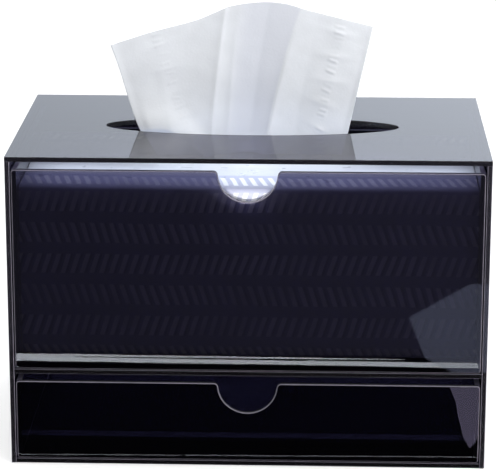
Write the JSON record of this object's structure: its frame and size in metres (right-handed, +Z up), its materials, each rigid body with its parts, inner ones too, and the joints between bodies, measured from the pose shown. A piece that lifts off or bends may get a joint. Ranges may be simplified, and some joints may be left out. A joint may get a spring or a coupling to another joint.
{
  "type": "tissue box with drawers",
  "caption": "Smoked acrylic tissue box: a tall pull-out tissue drawer with an oval slot above it and a low storage drawer below, each with a half-round finger notch.",
  "frame": {"origin": "on the surface the box stands on, below the centre of the case", "axes": "+Z up, +X to the right along the long side as seen from the front, drawers open towards -Y"},
  "size_m": [0.216, 0.13, 0.2022],
  "materials": {
    "smoked_acrylic": "gloss",
    "pack_film": "satin",
    "folded_tissue": "matte",
    "tissue_paper": "matte"
  },
  "bodies": {
    "case": {"case_top_panel": "smoked_acrylic", "case_left_panel": "smoked_acrylic", "case_right_panel": "smoked_acrylic", "case_back_panel": "smoked_acrylic", "case_middle_shelf": "smoked_acrylic", "case_floor_panel": "smoked_acrylic"},
    "tissue_drawer": {"tissue_drawer_front": "smoked_acrylic", "tissue_drawer_floor": "smoked_acrylic", "tissue_drawer_left": "smoked_acrylic", "tissue_drawer_right": "smoked_acrylic", "tissue_drawer_back": "smoked_acrylic", "pack_wrap": "pack_film", "tissue_stack": "folded_tissue"},
    "storage_drawer": {"storage_drawer_front": "smoked_acrylic", "storage_drawer_floor": "smoked_acrylic", "storage_drawer_left": "smoked_acrylic", "storage_drawer_right": "smoked_acrylic", "storage_drawer_back": "smoked_acrylic"},
    "tissue_sheet": {"tissue_sheet": "tissue_paper"}
  },
  "joints": [
    {"name": "tissue_drawer_slide", "type": "slide", "parent": "case", "child": "tissue_drawer", "axis": [0, -1, 0], "range_m": [0, 0.11]},
    {"name": "storage_drawer_slide", "type": "slide", "parent": "case", "child": "storage_drawer", "axis": [0, -1, 0], "range_m": [0, 0.11]},
    {"name": "tissue_pull", "type": "slide", "parent": "case", "child": "tissue_sheet", "axis": [0, 0, 1], "range_m": [0, 0.12]}
  ]
}
